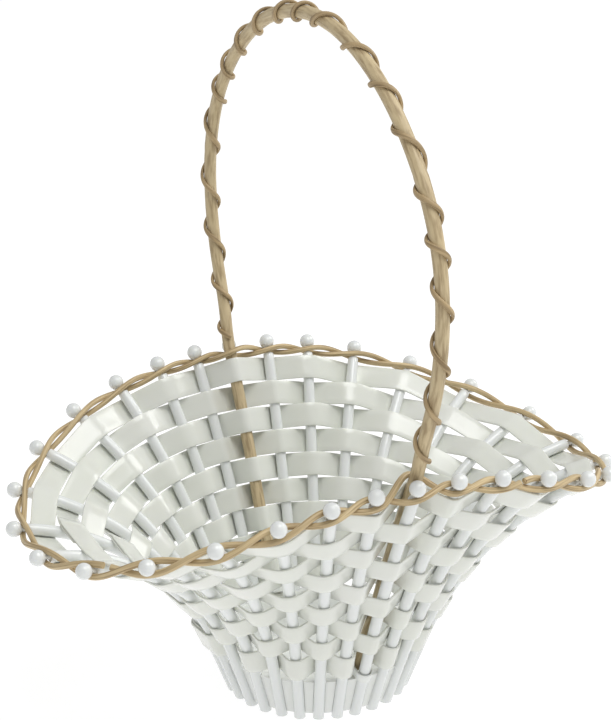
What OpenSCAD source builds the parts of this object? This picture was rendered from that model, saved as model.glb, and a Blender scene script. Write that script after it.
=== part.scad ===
// Flower girl basket: a flared oval bowl of white plastic strips woven round white plastic stakes,
// with a twined rattan rim and a rattan cane handle wrapped in a thin reed.
// The long axis of the bowl is X and the handle stands in the YZ plane. The stakes' feet rest on Z = 0.

/* [Stakes] */
// Gaps between stakes from the back handle foot round the +X end to the front one, an even number
right_gaps = 14; // [12:2:14]
// Gaps between stakes from the front handle foot round the -X end to the back one, an odd number
left_gaps = 15; // [13:2:15]
// Diameter of a stake
stake_d = 5.5; // [4.5:0.1:5.8]
// Diameter of the ball on a stake's tip
ball_d = 7.6; // [7:0.1:8.4]
// Length of a stake from its foot to the middle of its ball
stake_len = 153; // [152:1:160]
// Length of the straight lower part of a stake
straight_len = 31; // [30:1:36]

/* [Bowl] */
// Radius of the circle that the stakes' feet stand on
foot_circle_r = 43; // [42:1:48]
// Lean of every stake at its foot, in degrees from upright
foot_lean = 20.5; // [18:0.5:24]
// Lean of the stakes' tips beside the handle, in degrees from upright
side_lean = 28; // [26:1:34]
// Lean of the stakes' tips at the two long ends, in degrees from upright
end_lean = 84; // [60:1:84]
// How far the stakes fan out sideways, in degrees
fan_angle = 6; // [0:1:10]
// How much of the long sides stays upright before the ends flare out, 2 for an even change
side_share = 2.4; // [2:0.1:2.6]

/* [Base tray] */
// Height of the tray's side, measured along its slope
tray_side = 25; // [22:1:25]
// Gap between the resting plane and the underside of the tray
tray_lift = 2.5; // [1.5:0.5:4]
// Thickness of the tray's floor
tray_floor = 2; // [1.6:0.2:3]
// Thickness of the tray's side
tray_wall = 4; // [3.6:0.2:4.6]
// Depth of the grooves that the stakes stand in, which flute the tray
tray_groove = 2.6; // [1.6:0.1:2.6]

/* [Weavers] */
// Number of woven strips
row_count = 9; // [7:2:9]
// Distance from one strip to the next, along a stake
row_pitch = 12.6; // [12.4:0.1:12.6]
// Width of a strip
weaver_w = 12; // [9:0.1:12.1]
// Width of the lowest strip
last_weaver_w = 14; // [11:0.5:14]
// Thickness of a strip
weaver_t = 1; // [0.8:0.1:1.2]

/* [Rim] */
// Width of each of the two twined rim strands, up and down
strand_w = 3.4; // [2.4:0.1:3.4]
// Thickness of a rim strand
strand_t = 2; // [1.6:0.1:2.4]
// Distance of the rim below the middle of the balls, along a stake
rim_drop = 4.4; // [4:0.1:5]

/* [Handle] */
// Diameter of the handle cane
cane_d = 6.2; // [5:0.1:6.6]
// Straight stretch of cane above the rim
leg_straight = 30; // [20:1:35]
// Radius of the cane's bend from the leg to its widest place
leg_bend_r = 117; // [100:1:140]
// Height of the arch above its widest place
arch_rise = 102; // [98:1:110]
// Bend radius of the two shoulders of the arch
shoulder_r = 83; // [75:1:86]
// Thickness of the reed wrapped round the cane
reed_d = 2.2; // [1.6:0.1:2.4]
// Turns of reed round the cane
reed_turns = 21; // [16:1:24]
// Height of the collar that ties each handle foot to its stake
collar_h = 4.5; // [3:0.5:4.5]
// Thickness of the collar
collar_t = 0.9; // [0.7:0.1:1.1]

/* [Hidden] */
$fn = 48;
bar_facets = 24;
bend_facets = 360;
tray_facets = 96;
fit_gap = 0.15;
bead_lip = 0.03;
tiny = 0.01;
stake_count = right_gaps + left_gaps;
stake_r = stake_d / 2;
cane_r = cane_d / 2;
reed_r = reed_d / 2;
curved_len = stake_len - straight_len;

// rows of strips
rim_s = stake_len - rim_drop;
strand_lift = strand_w / 2 + fit_gap;
weave_top_s = rim_s - strand_lift - strand_w / 2 - fit_gap;
bends_per_stake = 3;
// each strip's ends meet at the -X end, so it passes the two stakes there on the same side
seam_stake = right_gaps + floor(left_gaps / 2);

// the cane lies just inside a stake, clear of its ball
leg_inset = ball_d / 2 + cane_r + fit_gap;
leg_foot_s = tray_side + 1;

plastic_white = [0.93, 0.94, 0.92];
rattan_tan = [0.80, 0.69, 0.50];
reed_tan = [0.74, 0.60, 0.40];

function two_digits(i) = i < 10 ? str("0", i) : str(i);
function stake_name(i) = str("stake_", two_digits(i));
function weaver_name(i) = str("weaver_", two_digits(i));

function unit(v) = v / norm(v);

// ---- the wall that the stakes lie in: a is the angle round the foot circle, s the length up a stake ----

// Stakes are numbered clockwise from the back handle foot; t may lie between two of them.
function lap(t) = t - stake_count * floor(t / stake_count);
function stake_angle(t) = 90 - (lap(t) <= right_gaps ? lap(t) * 180 / right_gaps
    : 180 + (lap(t) - right_gaps) * 180 / left_gaps);
function is_handle_stake(k) = lap(k) == 0 || lap(k) == right_gaps;

function heading(a) = a + fan_angle * sin(2 * a);
function tip_lean(a) = side_lean + (end_lean - side_lean) * pow(abs(cos(a)), side_share);
function lean_at(a, s) = foot_lean + (tip_lean(a) - foot_lean) * max(0, s - straight_len) / curved_len;
function bend_r(a) = curved_len / ((tip_lean(a) - foot_lean) * PI / 180);
function reach(a, s) = min(s, straight_len) * sin(foot_lean)
    + bend_r(a) * (cos(foot_lean) - cos(lean_at(a, s)));
function rise(a, s) = min(s, straight_len) * cos(foot_lean)
    + bend_r(a) * (sin(lean_at(a, s)) - sin(foot_lean));
function wall_point(a, s) = [
    foot_circle_r * cos(a) + reach(a, s) * cos(heading(a)),
    foot_circle_r * sin(a) + reach(a, s) * sin(heading(a)),
    rise(a, s)
];
function up_stake(a, s) = [
    sin(lean_at(a, s)) * cos(heading(a)), sin(lean_at(a, s)) * sin(heading(a)), cos(lean_at(a, s))
];
// how far the wall moves round the bowl, clockwise, for each degree
function round_bowl(a, s) = wall_point(a - 0.5, s) - wall_point(a + 0.5, s);
function wall_normal(a, s) = unit(cross(up_stake(a, s), round_bowl(a, s)));
function off_wall(a, s, out) = wall_point(a, s) + out * wall_normal(a, s);

// ---- how a strip runs over and under the stakes ----

// 1 where row j passes outside stake k, -1 where it passes inside
function side_of(j, k) = (j + lap(k) + (lap(k) > seam_stake ? 1 : 0)) % 2 == 0 ? 1 : -1;
function holds_cane(j, k) = is_handle_stake(k) && side_of(j, k) < 0;
function post_centre(j, k) = holds_cane(j, k) ? -leg_inset : 0;
function post_r(j, k) = (holds_cane(j, k) ? cane_r : stake_r) + fit_gap;
function stake_gap(k, s) = norm(wall_point(stake_angle(k + 1), s) - wall_point(stake_angle(k), s));
// how far the middle of the strip stands off the post's centre, outwards
function stand_off(j, k) = side_of(j, k) * (post_r(j, k) + weaver_t / 2);

// slope of the straight run of strip from stake k to the next one
function run_slope(j, k, s) = let (
        drop = post_centre(j, k + 1) - post_centre(j, k),
        far = norm([stake_gap(k, s), drop])
    ) atan2(drop, stake_gap(k, s)) + asin((stand_off(j, k + 1) - stand_off(j, k)) / far);

// corner i of the strip where it bends round stake k; depth is 1 on its far face and 0 on its near face
function strip_corner(j, k, i, s, depth) = let (
        side = side_of(j, k),
        slope_in = run_slope(j, k - 1, s),
        turn = (run_slope(j, k, s) - slope_in) / bends_per_stake,
        slope = slope_in + turn * (i + 0.5),
        r = (post_r(j, k) + depth * weaver_t) / cos(turn / 2),
        along = -side * r * sin(slope),
        out = post_centre(j, k) + side * r * cos(slope),
        angle = stake_angle(k) - along / norm(round_bowl(stake_angle(k), s))
    ) off_wall(angle, s, out);

function strip_section(j, k, i, low, high) = let (outer = side_of(j, k) > 0 ? 1 : 0) [
    strip_corner(j, k, i, high, outer), strip_corner(j, k, i, low, outer),
    strip_corner(j, k, i, low, 1 - outer), strip_corner(j, k, i, high, 1 - outer)
];

// ---- tubes skinned over rings of points ----

function skin_faces(rings, sides, closed) = [
    for (i = [0:rings - (closed ? 1 : 2)]) for (m = [0:sides - 1]) let (
        here = i * sides, next = ((i + 1) % rings) * sides, n = (m + 1) % sides
    ) each [[here + m, next + m, next + n], [here + m, next + n, here + n]]
];
function end_faces(rings, sides) = [
    [for (m = [0:sides - 1]) m], [for (m = [sides - 1:-1:0]) (rings - 1) * sides + m]
];
module tube_of_rings(rings, closed) {
    sides = len(rings[0]);
    points = [for (ring = rings) each ring];
    ends = closed ? [] : end_faces(len(rings), sides);
    polyhedron(points, concat(skin_faces(len(rings), sides, closed), ends), convexity = 10);
}

module weaver(j) {
    width = j == row_count ? last_weaver_w : weaver_w;
    high = weave_top_s - (j - 1) * row_pitch;
    color(plastic_white) tube_of_rings([
        for (k = [0:stake_count - 1]) for (i = [0:bends_per_stake - 1])
            strip_section(j, k, i, high - width, high)
    ], true);
}

// ---- stakes ----

// a round bar bent in the XZ plane from one lean to another, its centre of bend at the origin
module bent_bar(bar_r, bend, from_lean, to_lean) {
    rotate([90, 0, 0]) rotate([0, 0, 180 - to_lean])
        rotate_extrude(angle = to_lean - from_lean, $fn = bend_facets)
            translate([bend, 0]) circle(bar_r, $fn = bar_facets);
}

// a bead that joins two lengths of round bar end to end
module bead(x, z, bar_r) {
    translate([x, 0, z]) sphere(bar_r + bead_lip);
}

// the straight foot of a stake, from below the resting plane up
module stake_foot(r) {
    rotate([0, foot_lean, 0]) translate([0, 0, -stake_d]) cylinder(h = stake_d + straight_len, r = r);
}

module at_stake(a) {
    translate([foot_circle_r * cos(a), foot_circle_r * sin(a), 0]) rotate([0, 0, heading(a)]) children();
}

// stake i, bent in its own upright plane
module stake(i) {
    a = stake_angle(i - 1);
    joint_x = straight_len * sin(foot_lean);
    joint_z = straight_len * cos(foot_lean);
    color(plastic_white) at_stake(a) {
        difference() {
            stake_foot(stake_r);
            translate([0, 0, -stake_len]) cube(2 * stake_len, center = true);
        }
        bead(joint_x, joint_z, stake_r);
        translate([joint_x + bend_r(a) * cos(foot_lean), 0, joint_z - bend_r(a) * sin(foot_lean)])
            bent_bar(stake_r, bend_r(a), foot_lean, tip_lean(a));
        translate([reach(a, stake_len), 0, rise(a, stake_len)]) sphere(d = ball_d);
    }
}

// ---- base tray ----

tray_top = tray_side * cos(foot_lean);
tray_inside = tray_lift + tray_floor;
wall_across = tray_wall / cos(foot_lean);
// radius of the tray's outer face at height z
function tray_r(z) = foot_circle_r + z * tan(foot_lean) - (stake_r - tray_groove) / cos(foot_lean);

module tray_cone(low, high, inset) {
    translate([0, 0, low])
        cylinder(h = high - low, r1 = tray_r(low) - inset, r2 = tray_r(high) - inset, $fn = tray_facets);
}

module base_tray() {
    color(plastic_white) difference() {
        tray_cone(tray_lift, tray_top, 0);
        tray_cone(tray_inside, tray_top + tiny, wall_across);
        for (k = [0:stake_count - 1]) at_stake(stake_angle(k)) stake_foot(stake_r + fit_gap / 2);
    }
}

// ---- rim ----

// The strands go twice round the bowl between them, outside even stakes and inside odd ones,
// and the odd number of stakes changes them over on the second lap.
front_right_cut = 11.5;
front_left_cut = stake_count + 19.75;
cut_gap = 0.06;

// how far a rim strand stands out from the wall as it passes stake k
function strand_out(k) = k % 2 == 0 ? stake_r + strand_t / 2 + fit_gap
    : -(is_handle_stake(k) ? leg_inset + cane_r : stake_r) - strand_t / 2 - fit_gap;
function strand_point(t) = let (
        k = floor(t), u = t - k, blend = (1 - cos(180 * u)) / 2,
        out = strand_out(k) * (1 - blend) + strand_out(k + 1) * blend,
        lift = (k % 2 == 0 ? -1 : 1) * strand_lift * sin(180 * u)
    ) off_wall(stake_angle(t), rim_s + lift, out);
function ring_round(centre, side, up, sides) = [
    for (m = [0:sides - 1]) centre + cos(m * 360 / sides) * side + sin(m * 360 / sides) * up
];
function strand_ring(t) = let (
        along = unit(strand_point(t + 0.02) - strand_point(t - 0.02)),
        side = unit(cross(along, up_stake(stake_angle(t), rim_s)))
    ) ring_round(strand_point(t), side * strand_t / 2, cross(along, side) * strand_w / 2, 6);

module rim_strand(from, to) {
    steps = ceil((to - from) * 5);
    color(rattan_tan) tube_of_rings([
        for (i = [0:steps]) strand_ring(from + cut_gap + (to - from - 2 * cut_gap) * i / steps)
    ], false);
}

// ---- handle ----

exit_lean = lean_at(90, rim_s);
leg_exit = [
    foot_circle_r + reach(90, rim_s) - leg_inset * cos(exit_lean) + leg_straight * sin(exit_lean),
    rise(90, rim_s) + leg_inset * sin(exit_lean) + leg_straight * cos(exit_lean)
];
half_span = leg_exit[0] + leg_bend_r * (1 - cos(exit_lean));
waist_z = leg_exit[1] + leg_bend_r * sin(exit_lean);
crown_r = (pow(half_span, 2) + pow(arch_rise, 2) - 2 * half_span * shoulder_r)
    / (2 * (arch_rise - shoulder_r));
crown_z = waist_z + arch_rise - crown_r;
crown_turn = atan2(half_span - shoulder_r, waist_z - crown_z);

// lengths of cane from the crown out to the end of each stretch
crown_len = crown_r * crown_turn * PI / 180;
shoulder_len = crown_len + shoulder_r * (90 - crown_turn) * PI / 180;
bend_len = shoulder_len + leg_bend_r * exit_lean * PI / 180;
reed_len = bend_len + leg_straight - 2 * strand_w;

// dip of the cane below level, at distance d from the crown
function cane_dip(d) = d < crown_len ? d / crown_r * 180 / PI
    : d < shoulder_len ? crown_turn + (d - crown_len) / shoulder_r * 180 / PI
    : 90 + min(exit_lean, (d - shoulder_len) / leg_bend_r * 180 / PI);
// the cane's outward direction and centre line at distance d from the crown, on the +Y side
function cane_out(d) = [0, sin(cane_dip(d)), cos(cane_dip(d))];
function cane_point(d) = (d < crown_len ? [0, 0, crown_z] + crown_r * cane_out(d)
    : d < shoulder_len ? [0, half_span - shoulder_r, waist_z] + shoulder_r * cane_out(d)
    : [0, half_span - leg_bend_r, waist_z] + leg_bend_r * cane_out(d))
    + max(0, d - bend_len) * [0, cos(cane_dip(d)), -sin(cane_dip(d))];
function flip_y(v, side) = [v[0], side * v[1], v[2]];

// a straight length of cane down from a point, at a lean
module straight_cane(x, z, lean, length) {
    bead(x, z, cane_r);
    translate([x, 0, z]) rotate([0, 180 + lean, 0]) cylinder(h = length, r = cane_r, $fn = bar_facets);
}

// one half of the cane, on the +Y side, drawn in the XZ plane and turned into the YZ plane
module half_cane() {
    wall_bend = bend_r(90);
    joint_x = foot_circle_r + straight_len * sin(foot_lean);
    joint_z = straight_len * cos(foot_lean);
    rotate([0, 0, 90]) {
        translate([0, 0, crown_z]) bent_bar(cane_r, crown_r, 90, 90 + crown_turn);
        bead(crown_r * sin(crown_turn), crown_z + crown_r * cos(crown_turn), cane_r);
        translate([half_span - shoulder_r, 0, waist_z])
            bent_bar(cane_r, shoulder_r, 90 + crown_turn, 180);
        bead(half_span, waist_z, cane_r);
        translate([half_span - leg_bend_r, 0, waist_z])
            bent_bar(cane_r, leg_bend_r, 180, 180 + exit_lean);
        straight_cane(leg_exit[0], leg_exit[1], exit_lean, leg_straight);
        bead(leg_exit[0] - leg_straight * sin(exit_lean),
             leg_exit[1] - leg_straight * cos(exit_lean), cane_r);
        translate([joint_x + wall_bend * cos(foot_lean), 0, joint_z - wall_bend * sin(foot_lean)])
            bent_bar(cane_r, wall_bend + leg_inset, foot_lean, exit_lean);
        straight_cane(joint_x - leg_inset * cos(foot_lean), joint_z + leg_inset * sin(foot_lean),
                      foot_lean, straight_len - leg_foot_s);
    }
}

module handle_hoop() {
    color(rattan_tan) {
        half_cane();
        mirror([0, 1, 0]) half_cane();
        bead(0, crown_z + crown_r, cane_r);
    }
}

// the reed's section where it has wound t of the way from the -Y leg to the +Y leg, left-handed
function reed_ring(t) = let (
        d = (2 * t - 1) * reed_len, side = d < 0 ? -1 : 1,
        out = flip_y(cane_out(abs(d)), side),
        along = cross([1, 0, 0], out),
        wind = 180 - t * reed_turns * 360,
        spoke = out * cos(wind) + [1, 0, 0] * sin(wind),
        round_cane = cross(along, spoke),
        orbit = cane_r + reed_r + fit_gap,
        pitch = 2 * reed_len / reed_turns,
        across = unit(along * 2 * PI * orbit + round_cane * pitch)
    ) ring_round(flip_y(cane_point(abs(d)), side) + orbit * spoke, spoke * reed_r, across * reed_r, 6);

module handle_reed() {
    steps = reed_turns * 12;
    color(reed_tan) tube_of_rings([for (i = [0:steps]) reed_ring(i / steps)], false);
}

// outline of radius r round a stake and the cane beside it
module pair_outline(r) {
    circle(r);
    translate([-leg_inset, 0]) circle(r);
    translate([-leg_inset / 2, 0]) square([leg_inset, 2 * r], center = true);
}

module foot_collar(side) {
    color(plastic_white) rotate([0, 0, side * 90]) translate([foot_circle_r, 0, 0])
        rotate([0, foot_lean, 0]) translate([0, 0, tray_side + 0.5]) linear_extrude(collar_h)
            difference() {
                pair_outline(cane_r + fit_gap + collar_t);
                pair_outline(cane_r + fit_gap);
            }
}

base_tray();
for (i = [1:stake_count]) stake(i);
for (j = [1:row_count]) weaver(j);
rim_strand(front_right_cut, front_left_cut);  // rim_strand_a
rim_strand(front_left_cut, front_right_cut + 2 * stake_count);  // rim_strand_b
handle_hoop();
handle_reed();
foot_collar(1);  // collar_back
foot_collar(-1);  // collar_front
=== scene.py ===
"""Flower girl basket: woven white plastic bowl, twined rattan rim and a reed-wrapped cane handle.

Every piece is modelled straight and flat, and is then laid along its own line on the bowl or handle.
Lengths are in metres. X is the bowl's long axis, and the handle stands in the YZ plane.
"""

import math
import random

import bpy
from bpy.props import FloatProperty, FloatVectorProperty, IntProperty, PointerProperty
from mathutils import Matrix, Vector


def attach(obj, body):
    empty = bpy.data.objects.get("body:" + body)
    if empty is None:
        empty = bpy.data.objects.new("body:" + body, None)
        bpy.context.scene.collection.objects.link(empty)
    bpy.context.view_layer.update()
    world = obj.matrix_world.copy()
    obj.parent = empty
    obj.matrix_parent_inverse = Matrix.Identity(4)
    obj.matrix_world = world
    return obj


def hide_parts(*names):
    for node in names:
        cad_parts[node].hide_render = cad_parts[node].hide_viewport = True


bl_info = {
    "name": "Flower girl basket",
    "version": (1, 0, 0),
    "blender": (4, 5, 0),
    "location": "View3D > Sidebar > Basket",
    "description": "Builds a woven flower girl basket round its CAD frame",
    "category": "Object",
}

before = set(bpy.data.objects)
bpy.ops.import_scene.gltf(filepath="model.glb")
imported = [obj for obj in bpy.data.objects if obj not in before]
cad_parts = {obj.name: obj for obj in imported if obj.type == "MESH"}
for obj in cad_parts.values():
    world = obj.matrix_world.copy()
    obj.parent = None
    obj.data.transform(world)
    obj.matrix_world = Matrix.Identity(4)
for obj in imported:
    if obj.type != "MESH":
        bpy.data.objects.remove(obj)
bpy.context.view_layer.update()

BODY = "root"
# gap kept between neighbouring pieces
FIT = 0.00015
# UV maps count in centimetres
UV_SCALE = 100
# radius that a rod's girth is unrolled at in its UV map
UV_RADIUS = 0.003
# how far a strip's two faces lie apart in its UV map
UV_FACE_STEP = 0.02
# the handle cane stands this far beside its stake, from this length up the stake, reached over this length
LEG_ASIDE = 0.0028
LEG_ASIDE_FROM = 0.031
LEG_ASIDE_OVER = 0.03
# length over which the cane swings back above its stake once it is clear of the rim
LEG_RETURN = 0.022


# ---- sizes and colours ----

def length(name, description, default):
    return FloatProperty(name=name, description=description, default=default, min=0, unit="LENGTH")


def degrees(name, description, default):
    return FloatProperty(name=name, description=description, default=math.radians(default),
                         subtype="ANGLE")


def colour(name, description, default):
    return FloatVectorProperty(name=name, description=description, default=default, size=3,
                               min=0, max=1, subtype="COLOR")


class BasketBowl(bpy.types.PropertyGroup):
    """The stakes and the wall that they stand in"""
    right_gaps: IntProperty(name="Right gaps", description="Gaps between stakes on the +X side", default=14)
    left_gaps: IntProperty(name="Left gaps", description="Gaps between stakes on the -X side", default=15)
    stake_diameter: length("Stake diameter", "Thickness of a stake", 0.0055)
    ball_diameter: length("Ball diameter", "Ball on a stake's tip", 0.0076)
    stake_length: length("Stake length", "From the foot to the middle of the ball", 0.153)
    straight_length: length("Straight length", "Straight lower part of a stake", 0.031)
    foot_radius: length("Foot circle radius", "Circle that the feet stand on", 0.043)
    foot_lean: degrees("Foot lean", "Lean of the stakes at the foot", 20.5)
    side_lean: degrees("Side lean", "Lean of the tips beside the handle", 28)
    end_lean: degrees("End lean", "Lean of the tips at the long ends", 84)
    fan: degrees("Fan", "How far the stakes fan out sideways", 6)
    side_share: FloatProperty(name="Side share", description="How much of the long sides stays upright",
                              default=2.4)


class BasketWeave(bpy.types.PropertyGroup):
    """The woven strips and the twined rim"""
    rows: IntProperty(name="Rows", description="Number of woven strips", default=9)
    pitch: length("Row pitch", "From one strip to the next, along a stake", 0.0126)
    width: length("Strip width", "Width of a strip", 0.012)
    lowest_width: length("Lowest strip width", "Width of the lowest strip", 0.014)
    thickness: length("Strip thickness", "Thickness of a strip", 0.001)
    strand_width: length("Strand width", "Width of a rim strand, in and out", 0.0031)
    strand_height: length("Strand height", "Height of a rim strand", 0.0027)
    rim_height: length("Rim height", "Height kept for the two strands where they cross", 0.0034)
    rim_drop: length("Rim drop", "Rim below the middle of the balls", 0.0044)


class BasketHandle(bpy.types.PropertyGroup):
    """The cane handle and its reed"""
    cane_diameter: length("Cane diameter", "Thickness of the handle cane", 0.0062)
    leg_straight: length("Straight leg", "Straight cane above the rim", 0.030)
    leg_bend: length("Leg bend radius", "Bend from the leg to the widest place", 0.117)
    arch_rise: length("Arch rise", "Height of the arch above its widest place", 0.102)
    shoulder: length("Shoulder radius", "Bend of the two shoulders", 0.083)
    foot_height: length("Foot height", "How far up its stake the cane starts", 0.026)
    reed_width: length("Reed width", "Width of the wrapped reed", 0.0024)
    reed_thickness: length("Reed thickness", "Thickness of the wrapped reed", 0.0017)
    turns: IntProperty(name="Turns", description="Turns of reed round the cane", default=21)


class BasketFinish(bpy.types.PropertyGroup):
    """Colours of the finishes"""
    strip: colour("Strip plastic", "Woven strips", (0.775, 0.785, 0.735))
    stake: colour("Stake plastic", "Stakes and balls", (0.795, 0.815, 0.805))
    tray: colour("Tray plastic", "Base tray and collars", (0.80, 0.815, 0.79))
    cane: colour("Cane", "Handle cane", (0.60, 0.485, 0.29))
    cane_dark: colour("Cane grain", "Darker grain and knuckles of the cane", (0.33, 0.24, 0.13))
    rim: colour("Rim rattan", "Twined rim strands", (0.66, 0.52, 0.295))
    rim_dark: colour("Rim grain", "Darker grain of the rim strands", (0.27, 0.18, 0.085))
    reed: colour("Reed", "Reed wrapped round the cane", (0.50, 0.37, 0.20))
    reed_dark: colour("Reed grain", "Darker grain of the reed", (0.20, 0.135, 0.065))


class BasketStudio(bpy.types.PropertyGroup):
    """The stage, its light and its camera"""
    azimuth: degrees("Azimuth", "Camera round the basket", -24.816)
    elevation: degrees("Elevation", "Camera above the level", 25.051)
    roll: degrees("Roll", "Camera's roll", -0.444)
    distance: length("Distance", "Camera from the point it is set out from", 0.97757)
    target_height: length("Target height", "Height of that point", 0.064)
    lens: FloatProperty(name="Lens", description="Focal length on a 36 mm sensor", default=100.75)
    shift_x: FloatProperty(name="Shift X", description="Sideways lens shift", default=-0.01461)
    shift_y: FloatProperty(name="Shift Y", description="Upward lens shift", default=0.27494)
    sky: FloatProperty(name="Sky", description="Strength of the white surroundings", default=0.42)


# ---- the wall that the stakes lie in; t counts stakes clockwise, s is the length up a stake ----

class Wall:
    """The bowl's flared surface, with the same sizes as the CAD frame"""

    def __init__(self, bowl):
        self.right, self.left = bowl.right_gaps, bowl.left_gaps
        self.count = self.right + self.left
        self.seam = self.right + self.left // 2
        self.radius = bowl.foot_radius
        self.length, self.straight = bowl.stake_length, bowl.straight_length
        self.curved = self.length - self.straight
        self.foot_lean, self.side_lean, self.end_lean = bowl.foot_lean, bowl.side_lean, bowl.end_lean
        self.fan, self.side_share = bowl.fan, bowl.side_share

    def lap(self, t):
        return t % self.count

    def angle(self, t):
        t = self.lap(t)
        if t <= self.right:
            return math.pi / 2 - t * math.pi / self.right
        return -math.pi / 2 - (t - self.right) * math.pi / self.left

    def heading(self, a):
        return a + self.fan * math.sin(2 * a)

    def tip_lean(self, a):
        return self.side_lean + (self.end_lean - self.side_lean) * abs(math.cos(a)) ** self.side_share

    def lean(self, a, s):
        opening = self.tip_lean(a) - self.foot_lean
        return self.foot_lean + opening * max(0, s - self.straight) / self.curved

    def bend(self, a):
        return self.curved / (self.tip_lean(a) - self.foot_lean)

    def point(self, a, s):
        lean, bend, low = self.lean(a, s), self.bend(a), min(s, self.straight)
        reach = low * math.sin(self.foot_lean) + bend * (math.cos(self.foot_lean) - math.cos(lean))
        rise = low * math.cos(self.foot_lean) + bend * (math.sin(lean) - math.sin(self.foot_lean))
        h = self.heading(a)
        return Vector((self.radius * math.cos(a) + reach * math.cos(h),
                       self.radius * math.sin(a) + reach * math.sin(h), rise))

    def up(self, a, s):
        lean, h = self.lean(a, s), self.heading(a)
        return Vector((math.sin(lean) * math.cos(h), math.sin(lean) * math.sin(h), math.cos(lean)))

    def round_bowl(self, a, s):
        """How far the wall moves clockwise for each radian."""
        step = math.radians(0.5)
        return (self.point(a - step, s) - self.point(a + step, s)) / (2 * step)

    def normal(self, a, s):
        return self.up(a, s).cross(self.round_bowl(a, s)).normalized()

    def off(self, a, s, out):
        return self.point(a, s) + out * self.normal(a, s)

    def gap(self, k, s):
        return (self.point(self.angle(k + 1), s) - self.point(self.angle(k), s)).length

    def is_handle(self, k):
        return self.lap(k) in (0, self.right)


def leg_aside(s):
    """How far the handle cane stands anticlockwise of its stake, at length s up the stake."""
    return LEG_ASIDE * min(1, max(0, (s - LEG_ASIDE_FROM) / LEG_ASIDE_OVER))


# ---- shaping pieces ----

def deselect_all():
    if bpy.context.mode != "OBJECT":
        bpy.ops.object.mode_set(mode="OBJECT")
    bpy.ops.object.select_all(action="DESELECT")


def named(name):
    piece = bpy.context.object
    piece.name = name
    piece.data.name = name
    return piece


def copy_of(piece, name):
    twin = piece.copy()
    twin.data = piece.data.copy()
    twin.name = name
    twin.data.name = name
    bpy.context.scene.collection.objects.link(twin)
    return twin


def straight_rod(name, radius, rings, sides):
    """A rod up Z from a circle, extruded to each (height, radius factor) in rings, closed at both ends."""
    deselect_all()
    bpy.ops.mesh.primitive_circle_add(vertices=sides, radius=radius * rings[0][1], fill_type="NGON",
                                      location=(0, 0, rings[0][0]))
    piece = named(name)
    bpy.ops.object.transform_apply(location=True)
    bpy.ops.object.mode_set(mode="EDIT")
    bpy.ops.mesh.select_all(action="SELECT")
    for (low, before), (high, after) in zip(rings, rings[1:]):
        bpy.ops.mesh.extrude_region_move(TRANSFORM_OT_translate={"value": (0, 0, high - low)})
        bpy.ops.transform.resize(value=(after / before, after / before, 1), center_override=(0, 0, high))
    bpy.ops.mesh.select_all(action="SELECT")
    bpy.ops.mesh.normals_make_consistent(inside=False)
    bpy.ops.object.mode_set(mode="OBJECT")
    return piece


def plain_rod(name, radius, length_, step, sides):
    """A long rod up Z with rings a step apart, made from one cylinder whose long edges are subdivided."""
    deselect_all()
    bpy.ops.mesh.primitive_cylinder_add(vertices=sides, radius=radius, depth=length_,
                                        location=(0, 0, length_ / 2))
    piece = named(name)
    bpy.ops.object.transform_apply(location=True)
    cut_between(piece, 2, math.ceil(length_ / step))
    return piece


def cut_between(piece, axis, parts):
    """Cuts the edges that run along one axis into equal parts."""
    while parts > 1:
        cuts = min(parts, 64)
        bpy.ops.object.mode_set(mode="EDIT")
        bpy.ops.mesh.select_mode(type="EDGE")
        bpy.ops.mesh.select_all(action="DESELECT")
        bpy.ops.object.mode_set(mode="OBJECT")
        points = piece.data.vertices
        for edge in piece.data.edges:
            run = points[edge.vertices[1]].co - points[edge.vertices[0]].co
            edge.select = abs(run[axis]) > 0.9 * run.length
        bpy.ops.object.mode_set(mode="EDIT")
        bpy.ops.mesh.subdivide(number_cuts=cuts - 1, quadcorner="INNERVERT")
        bpy.ops.object.mode_set(mode="OBJECT")
        parts = math.ceil(parts / cuts)


def flat_strip(name, length_, step, width, thickness):
    """A flat strip along X, its width along Y, with softened edges."""
    deselect_all()
    bpy.ops.mesh.primitive_grid_add(x_subdivisions=math.ceil(length_ / step), y_subdivisions=4, size=1,
                                    location=(length_ / 2, 0, 0))
    piece = named(name)
    piece.scale = (length_, width, 1)
    bpy.ops.object.transform_apply(location=True, scale=True)
    add_modifier(piece, "SOLIDIFY", thickness=thickness, offset=0)
    add_modifier(piece, "BEVEL", width=0.4 * thickness, segments=2, limit_method="ANGLE")
    return piece


def add_modifier(piece, kind, **settings):
    """Adds a modifier and applies it."""
    deselect_all()
    piece.select_set(True)
    bpy.context.view_layer.objects.active = piece
    modifier = piece.modifiers.new(kind.title(), kind)
    for key, value in settings.items():
        setattr(modifier, key, value)
    bpy.ops.object.modifier_apply(modifier=modifier.name)


def keep_straight_shape(piece, along):
    """Keeps each point's place on the straight piece as a UV map: length, then width, in centimetres."""
    mesh = piece.data
    uv = mesh.uv_layers.new(name="straight") if not mesh.uv_layers else mesh.uv_layers[0]
    uv.name = "straight"
    for loop in mesh.loops:
        co = mesh.vertices[loop.vertex_index].co
        if along == 2:
            place = (co.z, math.atan2(co.y, co.x) * UV_RADIUS)
        else:
            place = (co.x, co.y + UV_FACE_STEP * (co.z > 0))
        uv.data[loop.index].uv = (place[0] * UV_SCALE, place[1] * UV_SCALE)


def lay(piece, place):
    """Moves every point of a straight piece to its place."""
    for vertex in piece.data.vertices:
        vertex.co = place(vertex.co)


def lay_along(piece, route):
    """Lays a rod that runs up Z along a route; route(s) is (centre, across, out) at length s."""
    known = {}

    def place(co):
        key = round(co.z, 6)
        if key not in known:
            known[key] = route(co.z)
        centre, across, out = known[key]
        return centre + co.x * across + co.y * out

    lay(piece, place)


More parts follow.
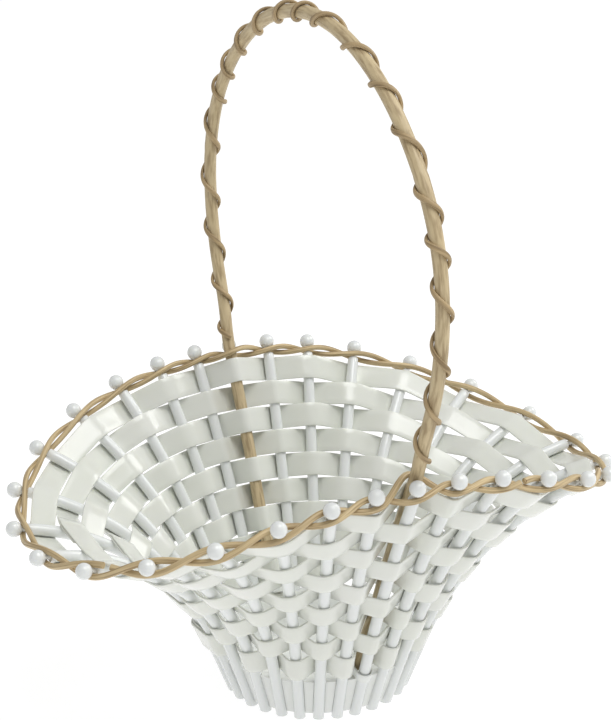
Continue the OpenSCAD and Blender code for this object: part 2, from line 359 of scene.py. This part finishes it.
def finish_piece(piece, material, nodes, sharp=40):
    """Smooths a piece, gives it its finish and puts it in place of its CAD nodes."""
    deselect_all()
    piece.select_set(True)
    bpy.context.view_layer.objects.active = piece
    bpy.ops.object.mode_set(mode="EDIT")
    bpy.ops.mesh.select_all(action="SELECT")
    bpy.ops.mesh.normals_make_consistent(inside=False)
    bpy.ops.object.mode_set(mode="OBJECT")
    bpy.ops.object.shade_smooth_by_angle(angle=math.radians(sharp))
    piece.data.materials.clear()
    piece.data.materials.append(material)
    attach(piece, BODY)
    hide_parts(*nodes)


# ---- finishes ----

def new_group(name, inputs, outputs):
    group = bpy.data.node_groups.new(name, "ShaderNodeTree")
    for label, kind, value in inputs:
        socket = group.interface.new_socket(name=label, in_out="INPUT", socket_type=kind)
        socket.default_value = value
    for label, kind in outputs:
        group.interface.new_socket(name=label, in_out="OUTPUT", socket_type=kind)
    return group, group.nodes.new("NodeGroupInput"), group.nodes.new("NodeGroupOutput")


def add_node(tree, kind, inputs=(), **settings):
    """A node with its settings and inputs; an input is a value or another node's output."""
    item = tree.nodes.new(kind)
    for key, value in settings.items():
        setattr(item, key, value)
    for key, value in dict(inputs).items():
        if isinstance(value, bpy.types.NodeSocket):
            tree.links.new(value, item.inputs[key])
        else:
            item.inputs[key].default_value = value
    return item


def rattan_group():
    """Long fibres, blotches and a little dirt on split cane."""
    if "Rattan grain" in bpy.data.node_groups:
        return bpy.data.node_groups["Rattan grain"]
    group, given, result = new_group(
        "Rattan grain",
        [("Light", "NodeSocketColor", (0.6, 0.5, 0.3, 1)), ("Dark", "NodeSocketColor", (0.3, 0.2, 0.1, 1)),
         ("Fibre scale", "NodeSocketFloat", 30.0), ("Blotches", "NodeSocketFloat", 0.5)],
        [("Color", "NodeSocketColor"), ("Roughness", "NodeSocketFloat"), ("Height", "NodeSocketFloat")])
    uv = add_node(group, "ShaderNodeUVMap", uv_map="straight")
    stretch = add_node(group, "ShaderNodeMapping", {"Vector": uv.outputs["UV"], "Scale": (0.03, 0.2, 1)})
    fibres = add_node(group, "ShaderNodeTexNoise",
                      {"Vector": stretch.outputs[0], "Scale": given.outputs["Fibre scale"], "Detail": 4.0})
    wide = add_node(group, "ShaderNodeMapping", {"Vector": uv.outputs["UV"], "Scale": (0.5, 1, 1)})
    blotch = add_node(group, "ShaderNodeTexNoise", {"Vector": wide.outputs[0], "Scale": 1.3, "Detail": 3.0})
    streak = add_node(group, "ShaderNodeMapRange", {"Value": fibres.outputs["Fac"], "From Min": 0.42,
                                                    "From Max": 0.66, "To Min": 0.0, "To Max": 0.9})
    patch = add_node(group, "ShaderNodeMapRange", {"Value": blotch.outputs["Fac"], "From Min": 0.42,
                                                   "From Max": 0.75, "To Min": 0.0, "To Max": 1.0})
    weigh = add_node(group, "ShaderNodeMath", {0: patch.outputs[0], 1: given.outputs["Blotches"]},
                     operation="MULTIPLY")
    both = add_node(group, "ShaderNodeMath", {0: streak.outputs[0], 1: weigh.outputs[0]},
                    operation="MAXIMUM")
    mix = add_node(group, "ShaderNodeMix", data_type="RGBA")
    group.links.new(both.outputs[0], mix.inputs["Factor"])
    group.links.new(given.outputs["Light"], mix.inputs[6])
    group.links.new(given.outputs["Dark"], mix.inputs[7])
    rough = add_node(group, "ShaderNodeMapRange", {"Value": fibres.outputs["Fac"], "From Min": 0.3,
                                                   "From Max": 0.7, "To Min": 0.42, "To Max": 0.62})
    group.links.new(mix.outputs[2], result.inputs["Color"])
    group.links.new(rough.outputs[0], result.inputs["Roughness"])
    group.links.new(fibres.outputs["Fac"], result.inputs["Height"])
    return group


def plastic_group():
    """Faint flow streaks, tiny waves and dull patches of moulded plastic."""
    if "Moulded plastic" in bpy.data.node_groups:
        return bpy.data.node_groups["Moulded plastic"]
    group, given, result = new_group(
        "Moulded plastic",
        [("Plastic", "NodeSocketColor", (0.86, 0.87, 0.85, 1)), ("Tint", "NodeSocketFloat", 0.5),
         ("Waves", "NodeSocketFloat", 60.0)],
        [("Color", "NodeSocketColor"), ("Roughness", "NodeSocketFloat"), ("Height", "NodeSocketFloat")])
    place = add_node(group, "ShaderNodeTexCoord")
    broad = add_node(group, "ShaderNodeTexNoise",
                     {"Vector": place.outputs["Object"], "Scale": 28.0, "Detail": 2.0})
    fine = add_node(group, "ShaderNodeTexNoise",
                    {"Vector": place.outputs["Object"], "Scale": given.outputs["Waves"], "Detail": 3.0})
    shade = add_node(group, "ShaderNodeMapRange", {"Value": broad.outputs["Fac"], "From Min": 0.3,
                                                   "From Max": 0.7, "To Min": 0.0, "To Max": 1.0})
    weigh = add_node(group, "ShaderNodeMath", {0: shade.outputs[0], 1: given.outputs["Tint"]},
                     operation="MULTIPLY")
    darker = add_node(group, "ShaderNodeMix", data_type="RGBA", blend_type="MULTIPLY")
    group.links.new(weigh.outputs[0], darker.inputs["Factor"])
    group.links.new(given.outputs["Plastic"], darker.inputs[6])
    darker.inputs[7].default_value = (0.955, 0.965, 0.94, 1)
    rough = add_node(group, "ShaderNodeMapRange", {"Value": fine.outputs["Fac"], "From Min": 0.3,
                                                   "From Max": 0.7, "To Min": 0.16, "To Max": 0.26})
    group.links.new(darker.outputs[2], result.inputs["Color"])
    group.links.new(rough.outputs[0], result.inputs["Roughness"])
    group.links.new(fine.outputs["Fac"], result.inputs["Height"])
    return group


def finish_with(name, group, values, bump, shader_values):
    """A material whose colour, roughness and bump come from one group."""
    if name in bpy.data.materials:
        return bpy.data.materials[name]
    material = bpy.data.materials.new(name)
    material.use_nodes = True
    tree = material.node_tree
    shader = next(n for n in tree.nodes if n.type == "BSDF_PRINCIPLED")
    pattern = tree.nodes.new("ShaderNodeGroup")
    pattern.node_tree = group
    for key, value in values.items():
        pattern.inputs[key].default_value = value
    relief = add_node(tree, "ShaderNodeBump", {"Height": pattern.outputs["Height"], "Strength": bump[0],
                                               "Distance": bump[1]})
    tree.links.new(pattern.outputs["Color"], shader.inputs["Base Color"])
    tree.links.new(pattern.outputs["Roughness"], shader.inputs["Roughness"])
    tree.links.new(relief.outputs["Normal"], shader.inputs["Normal"])
    for key, value in shader_values.items():
        shader.inputs[key].default_value = value
    return material


def opaque(rgb):
    return (*rgb, 1)


def plastic(name, rgb, tint):
    return finish_with(name, plastic_group(), {"Plastic": opaque(rgb), "Tint": tint, "Waves": 90.0},
                       (0.05, 0.0003),
                       {"Subsurface Weight": 0.2, "Subsurface Radius": (1.0, 1.0, 0.85),
                        "Subsurface Scale": 0.0008, "IOR": 1.49, "Coat Weight": 0.45,
                        "Coat Roughness": 0.22})


def rattan(name, light, dark, fibre_scale, blotches):
    return finish_with(name, rattan_group(), {"Light": opaque(light), "Dark": opaque(dark),
                                              "Fibre scale": fibre_scale, "Blotches": blotches},
                       (0.5, 0.0003), {"IOR": 1.45, "Coat Weight": 0.08, "Coat Roughness": 0.35})


def strip_plastic():
    return plastic("Strip plastic", bpy.context.scene.basket_finish.strip, 1.0)


def stake_plastic():
    return plastic("Stake plastic", bpy.context.scene.basket_finish.stake, 0.3)


def tray_plastic():
    return plastic("Tray plastic", bpy.context.scene.basket_finish.tray, 0.6)


# ---- operators ----

class BASKET_OT_stakes(bpy.types.Operator):
    """Models one straight ball-tipped stake and lays a copy of it at each place round the bowl"""
    bl_idname = "basket.stakes"
    bl_label = "Stakes"
    bl_options = {"REGISTER", "UNDO"}

    sides = 20
    # below the resting plane, to be trimmed off
    foot_excess = 0.004
    shaft_rings = 40
    ball_rings = 9
    ball_steps = 8.6
    # the shaft narrows under the rim: height above its start, share of the stake's radius
    neck_start = 0.0022
    neck = 0.42
    neck_steps = ((0, 0.97), (0.0005, 0.86), (0.0008, 0.5), (0.0012, neck))

    def execute(self, context):
        bowl = context.scene.basket_bowl
        wall = Wall(bowl)
        master = self.pattern(bowl, wall.length - context.scene.basket_weave.rim_drop - self.neck_start)
        for i in range(wall.count):
            a = wall.angle(i)
            stake = copy_of(master, f"plastic_stake_{i + 1:02d}")
            across = Vector((-math.sin(wall.heading(a)), math.cos(wall.heading(a)), 0))

            def route(s, a=a, across=across):
                up = wall.up(a, max(0, s))
                foot = wall.point(a, max(0, s)) + min(0, s) * up
                return foot, across, up.cross(across)

            lay_along(stake, route)
            self.trim_foot(stake)
            finish_piece(stake, stake_plastic(), [f"stake_{i + 1:02d}"])
        bpy.data.objects.remove(master)
        return {"FINISHED"}

    def pattern(self, bowl, top):
        """One straight stake up Z: its shaft, the narrow neck that starts at top, and its ball."""
        r, ball_r = bowl.stake_diameter / 2, bowl.ball_diameter / 2
        rings = [(-self.foot_excess, 1)]
        rings += [(top * i / self.shaft_rings, 1) for i in range(self.shaft_rings)]
        rings += [(top + rise, share) for rise, share in self.neck_steps]
        neck = math.asin(self.neck * r / ball_r)
        for i in range(self.ball_rings):
            turn = neck + (math.pi - neck) * i / self.ball_steps
            rings.append((bowl.stake_length - ball_r * math.cos(turn), ball_r * math.sin(turn) / r))
        return straight_rod("stake_pattern", r, rings, self.sides)

    def trim_foot(self, stake):
        """Cuts the foot flat in the resting plane."""
        deselect_all()
        stake.select_set(True)
        bpy.context.view_layer.objects.active = stake
        bpy.ops.object.mode_set(mode="EDIT")
        bpy.ops.mesh.select_all(action="SELECT")
        bpy.ops.mesh.bisect(plane_co=(0, 0, 0.00001), plane_no=(0, 0, 1), clear_inner=True, use_fill=True)
        bpy.ops.object.mode_set(mode="OBJECT")


class BASKET_OT_tray(bpy.types.Operator):
    """Copies the CAD tray and collars, closes their seams and softens their edges"""
    bl_idname = "basket.tray"
    bl_label = "Tray and collars"
    bl_options = {"REGISTER", "UNDO"}

    def execute(self, context):
        self.soften("base_tray", "moulded_base_tray", 0.0004, "tray_plastic", tray_plastic())
        self.soften("collar_back", "collar_round_back_leg", 0.0002, "weaver_plastic", tray_plastic())
        self.soften("collar_front", "collar_round_front_leg", 0.0002, "weaver_plastic", tray_plastic())
        return {"FINISHED"}

    def soften(self, node, name, edge, slot, material):
        piece = copy_of(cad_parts[node], name)
        for key in [key for key in piece.keys() if key.startswith("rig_")]:
            del piece[key]
        piece.parent = None
        deselect_all()
        piece.select_set(True)
        bpy.context.view_layer.objects.active = piece
        bpy.ops.object.mode_set(mode="EDIT")
        bpy.ops.mesh.select_all(action="SELECT")
        bpy.ops.mesh.remove_doubles(threshold=0.00001)
        bpy.ops.mesh.dissolve_limited(angle_limit=math.radians(1))
        bpy.ops.object.mode_set(mode="OBJECT")
        add_modifier(piece, "BEVEL", width=edge, segments=3, limit_method="ANGLE",
                     angle_limit=math.radians(50))
        finish_piece(piece, material, [node], 30)


class BASKET_OT_strips(bpy.types.Operator):
    """Lays flat strips over and under the stakes, with overlapped ends at the -X end"""
    bl_idname = "basket.strips"
    bl_label = "Woven strips"
    bl_options = {"REGISTER", "UNDO"}

    # a strip starts this far along its first run, and overlaps its start by this many runs
    start = 0.35
    overlap = 1.3
    arc_steps = 6
    run_steps = 4
    # length of flat strip for each step
    spacing = 0.002
    # the strip's edges wander: waves in a turn, size
    sways = ((3, 0.00022), (7, 0.00016))
    # how far the middle of its width stands proud
    crown = 0.00012
    # between the two layers where its ends overlap
    layer_gap = 0.0001
    # how gently it bends round a stake: the widest radius, its share of what the gap allows, and the
    # widest beside a handle leg, in times the stake's
    widest_bend = 0.017
    bend_share = 0.85
    bend_beside_leg = 1.3

    def execute(self, context):
        bowl, weave = context.scene.basket_bowl, context.scene.basket_weave
        self.wall = Wall(bowl)
        self.stake_r = bowl.stake_diameter / 2
        self.cane_r = context.scene.basket_handle.cane_diameter / 2
        self.inset = bowl.ball_diameter / 2 + self.cane_r + FIT
        self.thickness = weave.thickness
        top = bowl.stake_length - weave.rim_drop - weave.rim_height - 2 * FIT
        for j in range(1, weave.rows + 1):
            width = weave.lowest_width if j == weave.rows else weave.width
            high = top - (j - 1) * weave.pitch
            self.weave_strip(j, high - width / 2, width)
        return {"FINISHED"}

    def weave_strip(self, j, middle, width):
        wall = self.wall
        first = wall.seam
        steps = self.arc_steps + self.run_steps
        self.row = j
        self.known = {}
        begin = self.start * self.run_steps + self.arc_steps
        stations = (wall.count + 1) * steps + self.overlap_steps() - begin
        strip = flat_strip(f"woven_strip_{j:02d}", stations * self.spacing, self.spacing, width,
                           self.thickness)
        keep_straight_shape(strip, 0)
        draw = random.Random(40 + j)
        phases = [draw.uniform(0, 2 * math.pi) for _ in self.sways]

        def place(co):
            station = min(max(co.x / self.spacing, 0), stations) + begin
            turn = 2 * math.pi * station / (steps * wall.count)
            sway = sum(size * math.sin(waves * turn + phase)
                       for (waves, size), phase in zip(self.sways, phases))
            s = middle + co.y + sway
            low = int(station)
            blend = station - low
            depth = co.z + self.crown * (1 - (2 * co.y / width) ** 2)
            near = self.station_point(first, low, s, depth)
            if blend < 1e-6:
                return near
            return near.lerp(self.station_point(first, low + 1, s, depth), blend)

        lay(strip, place)
        finish_piece(strip, strip_plastic(), [f"weaver_{j:02d}"], 60)

    def overlap_steps(self):
        return self.arc_steps + self.run_steps * (self.overlap - 1)

    def side(self, k):
        wrapped = self.wall.lap(k)
        return 1 if (self.row + wrapped + (wrapped > self.wall.seam)) % 2 == 0 else -1

    def bend_at(self, k, s, first):
        """Centre and radius of the strip's middle layer where it bends round stake k."""
        key = (k, round(s, 6))
        if key not in self.known:
            side = self.side(k)
            cane = self.wall.is_handle(k) and side < 0
            post = (self.cane_r if cane else self.stake_r) + FIT + self.thickness / 2
            centre = -self.inset if cane else 0.0
            radius = post
            if not self.wall.is_handle(k):
                gap = min(self.wall.gap(k, s), self.wall.gap(k - 1, s))
                widest = (gap ** 2 + 4 * post ** 2) / (8 * post)
                beside = self.wall.is_handle(k - 1) or self.wall.is_handle(k + 1)
                gentlest = self.bend_beside_leg * post if beside else self.widest_bend
                radius = max(post, min(gentlest, self.bend_share * widest))
            centre += side * (post - radius)
            aside = -leg_aside(s) if cane else 0.0
            layer = self.thickness + self.layer_gap
            if k == first + self.wall.count + 1:
                centre += side * layer
            if k == first:
                centre -= self.side(k + 1) * layer
            self.known[key] = (centre, radius, aside)
        return self.known[key]

    def slope(self, k, s, first):
        """Slope of the straight run from stake k to the next one."""
        c0, r0, aside0 = self.bend_at(k, s, first)
        c1, r1, aside1 = self.bend_at(k + 1, s, first)
        gap = self.wall.gap(k, s) + aside1 - aside0
        far = math.hypot(gap, c1 - c0)
        lift = (self.side(k + 1) * r1 - self.side(k) * r0) / far
        return math.atan2(c1 - c0, gap) + math.asin(max(-0.99, min(0.99, lift)))

    def arc_point(self, k, s, first, step, depth):
        side = self.side(k)
        centre, radius, aside = self.bend_at(k, s, first)
        before, after = self.slope(k - 1, s, first), self.slope(k, s, first)
        slope = before + (after - before) * step / self.arc_steps
        r = radius + side * depth
        along, out = aside - side * r * math.sin(slope), centre + side * r * math.cos(slope)
        a = self.wall.angle(k)
        return self.wall.off(a - along / self.wall.round_bowl(a, s).length, s, out)

    def station_point(self, first, station, s, depth):
        """Stations run over each stake's bend and then the run to the next stake."""
        steps = self.arc_steps + self.run_steps
        k, step = first + station // steps, station % steps
        if step <= self.arc_steps:
            return self.arc_point(k, s, first, step, depth)
        leave = self.arc_point(k, s, first, self.arc_steps, depth)
        arrive = self.arc_point(k + 1, s, first, 0, depth)
        return leave.lerp(arrive, (step - self.arc_steps) / self.run_steps)


class BASKET_OT_rim(bpy.types.Operator):
    """Twines the two rim strands in and out of the stakes under their balls"""
    bl_idname = "basket.rim"
    bl_label = "Twined rim"
    bl_options = {"REGISTER", "UNDO"}

    # where the two strands' ends meet, and the gap there, in stakes clockwise from the back leg
    cuts = (11.5, 48.75, 69.5)
    cut_gap = 0.06
    # length of straight strand for each stake, in this many rings
    per_stake = 0.014
    rings_per_stake = 12
    sides = 16
    # the strands turn a little about their length: angle and rate; and vary in girth: share and rate
    twist, twist_rate = 0.18, 1.3
    fullness, fullness_rate = 0.03, 1.7
    # how far apart two places on a strand are that give its direction
    probe = 0.02

    def execute(self, context):
        bowl, weave = context.scene.basket_bowl, context.scene.basket_weave
        cane_r = context.scene.basket_handle.cane_diameter / 2
        self.wall = Wall(bowl)
        self.half_w, self.half_t = weave.strand_height / 2, weave.strand_width / 2
        self.rim_s = bowl.stake_length - weave.rim_drop
        self.stake_out = BASKET_OT_stakes.neck * bowl.stake_diameter / 2 + self.half_t + FIT
        self.cane_in = bowl.ball_diameter / 2 + 2 * cane_r + FIT + self.half_t + FIT
        finish = context.scene.basket_finish
        material = rattan("Rim rattan", finish.rim, finish.rim_dark, 26.0, 0.6)
        for i, letter in enumerate("ab"):
            self.twine(letter, self.cuts[i] + self.cut_gap, self.cuts[i + 1] - self.cut_gap, material)
        return {"FINISHED"}

    def stand_out(self, k):
        if k % 2 == 0:
            return self.stake_out
        return -self.cane_in if self.wall.is_handle(k) else -self.stake_out

    def middle(self, t):
        k = math.floor(t)
        u = t - k
        blend = (1 - math.cos(math.pi * u)) / 2
        out = self.stand_out(k) * (1 - blend) + self.stand_out(k + 1) * blend
        lift = (-1 if k % 2 == 0 else 1) * (self.half_w + FIT) * math.sin(math.pi * u)
        weight = (1 - blend) * self.round_cane(k) + blend * self.round_cane(k + 1)
        a = self.wall.angle(t)
        a += weight * leg_aside(self.rim_s) / self.wall.round_bowl(a, self.rim_s).length
        return self.wall.off(a, self.rim_s + lift, out)

    def round_cane(self, k):
        return k % 2 == 1 and self.wall.is_handle(k)

    def twine(self, letter, start, end, material):
        run = (end - start) * self.per_stake
        strand = plain_rod(f"rim_rattan_{letter}", 1.0, run, self.per_stake / self.rings_per_stake,
                           self.sides)
        keep_straight_shape(strand, 2)
        draw = random.Random(7 if letter == "a" else 8)
        phase = draw.uniform(0, 6)

        def route(z):
            t = start + z / self.per_stake
            along = (self.middle(t + self.probe) - self.middle(t - self.probe)).normalized()
            side = along.cross(self.wall.up(self.wall.angle(t), self.rim_s)).normalized()
            up = along.cross(side)
            twist = self.twist * math.sin(self.twist_rate * t + phase)
            across = side * math.cos(twist) + up * math.sin(twist)
            out = up * math.cos(twist) - side * math.sin(twist)
            full = 1 - self.fullness + self.fullness * math.sin(self.fullness_rate * t + phase)
            return self.middle(t), across * self.half_t * full, out * self.half_w * full

        lay_along(strand, route)
        finish_piece(strand, material, [f"rim_strand_{letter}"])


class Cane:
    """The middle line of the handle cane; d is the length from the crown along one half"""

    # an average place on the cane is a little thinner than its full size
    fullness = 0.985

    def __init__(self, scene):
        bowl, handle, weave = scene.basket_bowl, scene.basket_handle, scene.basket_weave
        self.wall = Wall(bowl)
        self.shoulder, self.leg_bend = handle.shoulder, handle.leg_bend
        self.r = handle.cane_diameter / 2
        self.inset = bowl.ball_diameter / 2 + self.r + FIT
        self.rim_s = bowl.stake_length - weave.rim_drop
        a = math.pi / 2
        lean = self.exit_lean = self.wall.lean(a, self.rim_s)
        foot = self.wall.point(a, self.rim_s)
        self.leg_straight = handle.leg_straight
        exit_y = foot.y - self.inset * math.cos(lean) + handle.leg_straight * math.sin(lean)
        exit_z = foot.z + self.inset * math.sin(lean) + handle.leg_straight * math.cos(lean)
        self.half_span = exit_y + self.leg_bend * (1 - math.cos(lean))
        self.waist_z = exit_z + self.leg_bend * math.sin(lean)
        rise = handle.arch_rise
        self.crown_r = ((self.half_span ** 2 + rise ** 2 - 2 * self.half_span * self.shoulder)
                        / (2 * (rise - self.shoulder)))
        self.crown_z = self.waist_z + rise - self.crown_r
        turn = math.atan2(self.half_span - self.shoulder, self.waist_z - self.crown_z)
        self.turn = turn
        self.crown_len = self.crown_r * turn
        self.shoulder_len = self.crown_len + self.shoulder * (math.pi / 2 - turn)
        self.bend_len = self.shoulder_len + self.leg_bend * lean
        self.leg_len = self.bend_len + self.leg_straight
        self.foot_height = handle.foot_height
        self.length = self.leg_len + (self.rim_s - self.foot_height)

    def dip(self, d):
        if d < self.crown_len:
            return d / self.crown_r
        if d < self.shoulder_len:
            return self.turn + (d - self.crown_len) / self.shoulder
        return math.pi / 2 + min(self.exit_lean, (d - self.shoulder_len) / self.leg_bend)

    def at(self, d):
        """(middle, outward) at distance d; d below 0 is the -Y half."""
        half, d = (1 if d >= 0 else -1), abs(d)
        if d > self.leg_len:
            a = math.pi / 2
            s = self.rim_s - (d - self.leg_len)
            up = self.wall.up(a, s)
            out = Vector((0, up.z, -up.y))
            middle = self.wall.point(a, s) - self.inset * out
        else:
            dip = self.dip(d)
            out = Vector((0, math.sin(dip), math.cos(dip)))
            if d < self.crown_len:
                middle = Vector((0, 0, self.crown_z)) + self.crown_r * out
            elif d < self.shoulder_len:
                middle = Vector((0, self.half_span - self.shoulder, self.waist_z)) + self.shoulder * out
            else:
                middle = Vector((0, self.half_span - self.leg_bend, self.waist_z)) + self.leg_bend * out
                middle += max(0, d - self.bend_len) * Vector((0, math.cos(dip), -math.sin(dip)))
        flip = Vector((1, half, 1))
        rise = max(0, self.leg_len - d)
        crook = -half * leg_aside(self.rim_s + self.leg_len - d) * math.exp(-(rise / LEG_RETURN) ** 2)
        return middle * flip + Vector((crook, 0, 0)), out * flip


class BASKET_OT_cane(bpy.types.Operator):
    """Bends the handle cane, with its knuckles, from one foot over the crown to the other"""
    bl_idname = "basket.cane"
    bl_label = "Handle cane"
    bl_options = {"REGISTER", "UNDO"}

    ring_step = 0.002
    sides = 24
    # where the knuckles are, from the crown, and their swelling and the waist beside it: size, width
    knuckles = (-0.262, -0.118, 0.031, 0.157, 0.279)
    bulge, bulge_width = 0.035, 0.0016
    waist, waist_width, waist_place = 0.02, 0.0014, 0.003
    # slow swelling along the cane: size, waves per metre in radians, phase
    swells = ((0.012, 41, 0), (0.01, 97, 1))
    # the cane's thickness is even from here before the rim down to its foot
    even_from = 0.01

    def execute(self, context):
        cane = Cane(context.scene)
        piece = plain_rod("handle_cane", cane.r * cane.fullness, 2 * cane.length, self.ring_step,
                          self.sides)
        keep_straight_shape(piece, 2)

        def swell(d):
            thick = 1 + sum(size * math.sin(rate * d + phase) for size, rate, phase in self.swells)
            for place in self.knuckles:
                thick += self.bulge * math.exp(-((d - place) / self.bulge_width) ** 2)
                thick -= self.waist * math.exp(-((d - place - self.waist_place) / self.waist_width) ** 2)
            return thick

        def route(z):
            d = z - cane.length
            middle, out = cane.at(d)
            thick = swell(d) if abs(d) < cane.leg_len - self.even_from else 1
            return middle, Vector((1, 0, 0)) * thick, out * thick

        lay_along(piece, route)
        finish = context.scene.basket_finish
        finish_piece(piece, rattan("Handle cane", finish.cane, finish.cane_dark, 30.0, 0.4),
                     ["handle_hoop"])
        return {"FINISHED"}


class BASKET_OT_reed(bpy.types.Operator):
    """Winds a split reed round the cane from one leg to the other"""
    bl_idname = "basket.reed"
    bl_label = "Wrapped reed"
    bl_options = {"REGISTER", "UNDO"}

    # the winding stops this far above the rim
    stop_short = 0.0068
    # radius that it winds over, in times the cane's, so that it clears the knuckles
    clearance = 1.035
    rings_per_turn = 40
    sides = 14
    # the turns are uneven: number of waves, size of the first in turns, and their rates
    wave_count, wave_size, wave_rate, wave_scale = 4, 0.22, 0.31, 1.9
    # it fades out towards each end at this rate
    fade_rate = 6
    probe = 0.001

    def execute(self, context):
        cane = Cane(context.scene)
        handle = context.scene.basket_handle
        reach = cane.leg_len - self.stop_short
        turns = handle.turns
        thick, wide = handle.reed_thickness / 2, handle.reed_width / 2
        orbit = cane.r * self.clearance + thick
        piece = plain_rod("handle_reed_wrap", 1.0, turns, 1 / self.rings_per_turn, self.sides)
        reed = piece.data
        for vertex in reed.vertices:
            vertex.co.x *= thick
            vertex.co.y *= wide
        draw = random.Random(3)
        waves = [(draw.uniform(0, 6), self.wave_size / (i + 1), self.wave_rate * (i + 1))
                 for i in range(self.wave_count)]
        pitch = 2 * reach / turns

        def drift(t):
            fade = min(1, self.fade_rate * t, self.fade_rate * (1 - t))
            return fade * pitch * sum(size * math.sin(rate * t * turns * self.wave_scale + phase)
                                      for phase, size, rate in waves)

        def route(z):
            t = z / turns
            wind = math.pi - 2 * math.pi * z
            d = (2 * t - 1) * reach + drift(t)
            middle, out = cane.at(d)
            along = Vector((1, 0, 0)).cross(out)
            spoke = out * math.cos(wind) + Vector((1, 0, 0)) * math.sin(wind)
            change = drift(t + self.probe) - drift(t - self.probe)
            step = pitch * (1 + change / (2 * self.probe * 2 * reach))
            across = (along * 2 * math.pi * orbit + along.cross(spoke) * step).normalized()
            return middle + orbit * spoke, spoke, across

        self.keep_reed_shape(piece, turns, 2 * math.pi * orbit)
        lay_along(piece, route)
        finish = context.scene.basket_finish
        finish_piece(piece, rattan("Wrapped reed", finish.reed, finish.reed_dark, 28.0, 0.5),
                     ["handle_reed"])
        return {"FINISHED"}

    def keep_reed_shape(self, piece, turns, turn_length):
        keep_straight_shape(piece, 2)
        uv = piece.data.uv_layers["straight"]
        for loop in piece.data.loops:
            co = piece.data.vertices[loop.vertex_index].co
            uv.data[loop.index].uv = (co.z * turn_length * UV_SCALE, co.y * UV_SCALE + (co.x > 0))


class BASKET_OT_stage(bpy.types.Operator):
    """Sets out the white floor, the soft light and the camera"""
    bl_idname = "basket.stage"
    bl_label = "Stage"
    bl_options = {"REGISTER", "UNDO"}

    floor_size = 60
    # the floor's own grey, and the glow that keeps it white
    floor_grey, floor_glow = 0.25, 0.86
    # name, place, size and power of each lamp, all turned to one point in the bowl
    softboxes = (("key_softbox", (1.6, 0.0, 1.3), 0.9, 10.5),
                 ("fill_softbox", (-1.2, -1.2, 1.2), 1.0, 0.2),
                 ("top_softbox", (0.3, -0.75, 2.0), 1.2, 22.0))
    lit_point = Vector((0, 0, 0.12))

    def execute(self, context):
        studio = context.scene.basket_studio
        self.lay_floor()
        self.light(studio)
        self.set_camera(context, studio)
        context.scene.view_settings.view_transform = "Standard"
        return {"FINISHED"}

    def lay_floor(self):
        deselect_all()
        bpy.ops.mesh.primitive_plane_add(size=self.floor_size, location=(0, 0, 0))
        floor = named("white_floor")
        material = bpy.data.materials.new("White paper")
        material.use_nodes = True
        tree = material.node_tree
        shader = next(n for n in tree.nodes if n.type == "BSDF_PRINCIPLED")
        shader.inputs["Base Color"].default_value = opaque([self.floor_grey] * 3)
        shader.inputs["Roughness"].default_value = 0.9
        shader.inputs["Emission Color"].default_value = (1, 1, 1, 1)
        shader.inputs["Emission Strength"].default_value = self.floor_glow
        floor.data.materials.append(material)

    def light(self, studio):
        world = bpy.data.worlds.new("White room")
        world.use_nodes = True
        bpy.context.scene.world = world
        background = world.node_tree.nodes["Background"]
        background.inputs["Color"].default_value = (1, 1, 1, 1)
        background.inputs["Strength"].default_value = studio.sky
        for name, place, size, power in self.softboxes:
            bpy.ops.object.light_add(type="AREA", location=place)
            lamp = bpy.context.object
            lamp.name = name
            lamp.data.size = size
            lamp.data.energy = power
            aim = self.lit_point - Vector(place)
            lamp.rotation_euler = aim.to_track_quat("-Z", "Y").to_euler()

    def set_camera(self, context, studio):
        a, e = studio.azimuth, studio.elevation
        back = Vector((math.sin(a) * math.cos(e), -math.cos(a) * math.cos(e), math.sin(e)))
        bpy.ops.object.camera_add(location=Vector((0, 0, studio.target_height)) + studio.distance * back)
        camera = bpy.context.object
        camera.name = "camera"
        turn = back.to_track_quat("Z", "Y")
        camera.rotation_euler = (turn.to_matrix() @ Matrix.Rotation(studio.roll, 3, "Z")).to_euler()
        camera.data.sensor_width = 36
        camera.data.sensor_fit = "AUTO"
        camera.data.lens = studio.lens
        camera.data.shift_x = studio.shift_x
        camera.data.shift_y = studio.shift_y
        camera.data.clip_start = 0.01
        context.scene.camera = camera


class BASKET_PT_panel(bpy.types.Panel):
    """Lists the basket's pieces and sizes"""
    bl_idname = "BASKET_PT_panel"
    bl_label = "Flower girl basket"
    bl_space_type = "VIEW_3D"
    bl_region_type = "UI"
    bl_category = "Basket"

    def draw(self, context):
        for operator in OPERATORS:
            self.layout.operator(operator.bl_idname)
        for name in GROUPS:
            group = getattr(context.scene, name)
            box = self.layout.box()
            box.label(text=type(group).__doc__)
            for key in type(group).__annotations__:
                box.prop(group, key)


GROUPS = {"basket_bowl": BasketBowl, "basket_weave": BasketWeave, "basket_handle": BasketHandle,
          "basket_finish": BasketFinish, "basket_studio": BasketStudio}
OPERATORS = (BASKET_OT_stage, BASKET_OT_stakes, BASKET_OT_tray, BASKET_OT_strips, BASKET_OT_rim,
             BASKET_OT_cane, BASKET_OT_reed)


def register():
    for name, group in GROUPS.items():
        bpy.utils.register_class(group)
        setattr(bpy.types.Scene, name, PointerProperty(type=group))
    for operator in OPERATORS:
        bpy.utils.register_class(operator)
    bpy.utils.register_class(BASKET_PT_panel)


def unregister():
    bpy.utils.unregister_class(BASKET_PT_panel)
    for operator in reversed(OPERATORS):
        bpy.utils.unregister_class(operator)
    for name, group in GROUPS.items():
        delattr(bpy.types.Scene, name)
        bpy.utils.unregister_class(group)


def main():
    register()
    bpy.ops.basket.stage()
    bpy.ops.basket.stakes()
    bpy.ops.basket.tray()
    bpy.ops.basket.strips()
    bpy.ops.basket.rim()
    bpy.ops.basket.cane()
    bpy.ops.basket.reed()


if __name__ == "__main__":
    main()
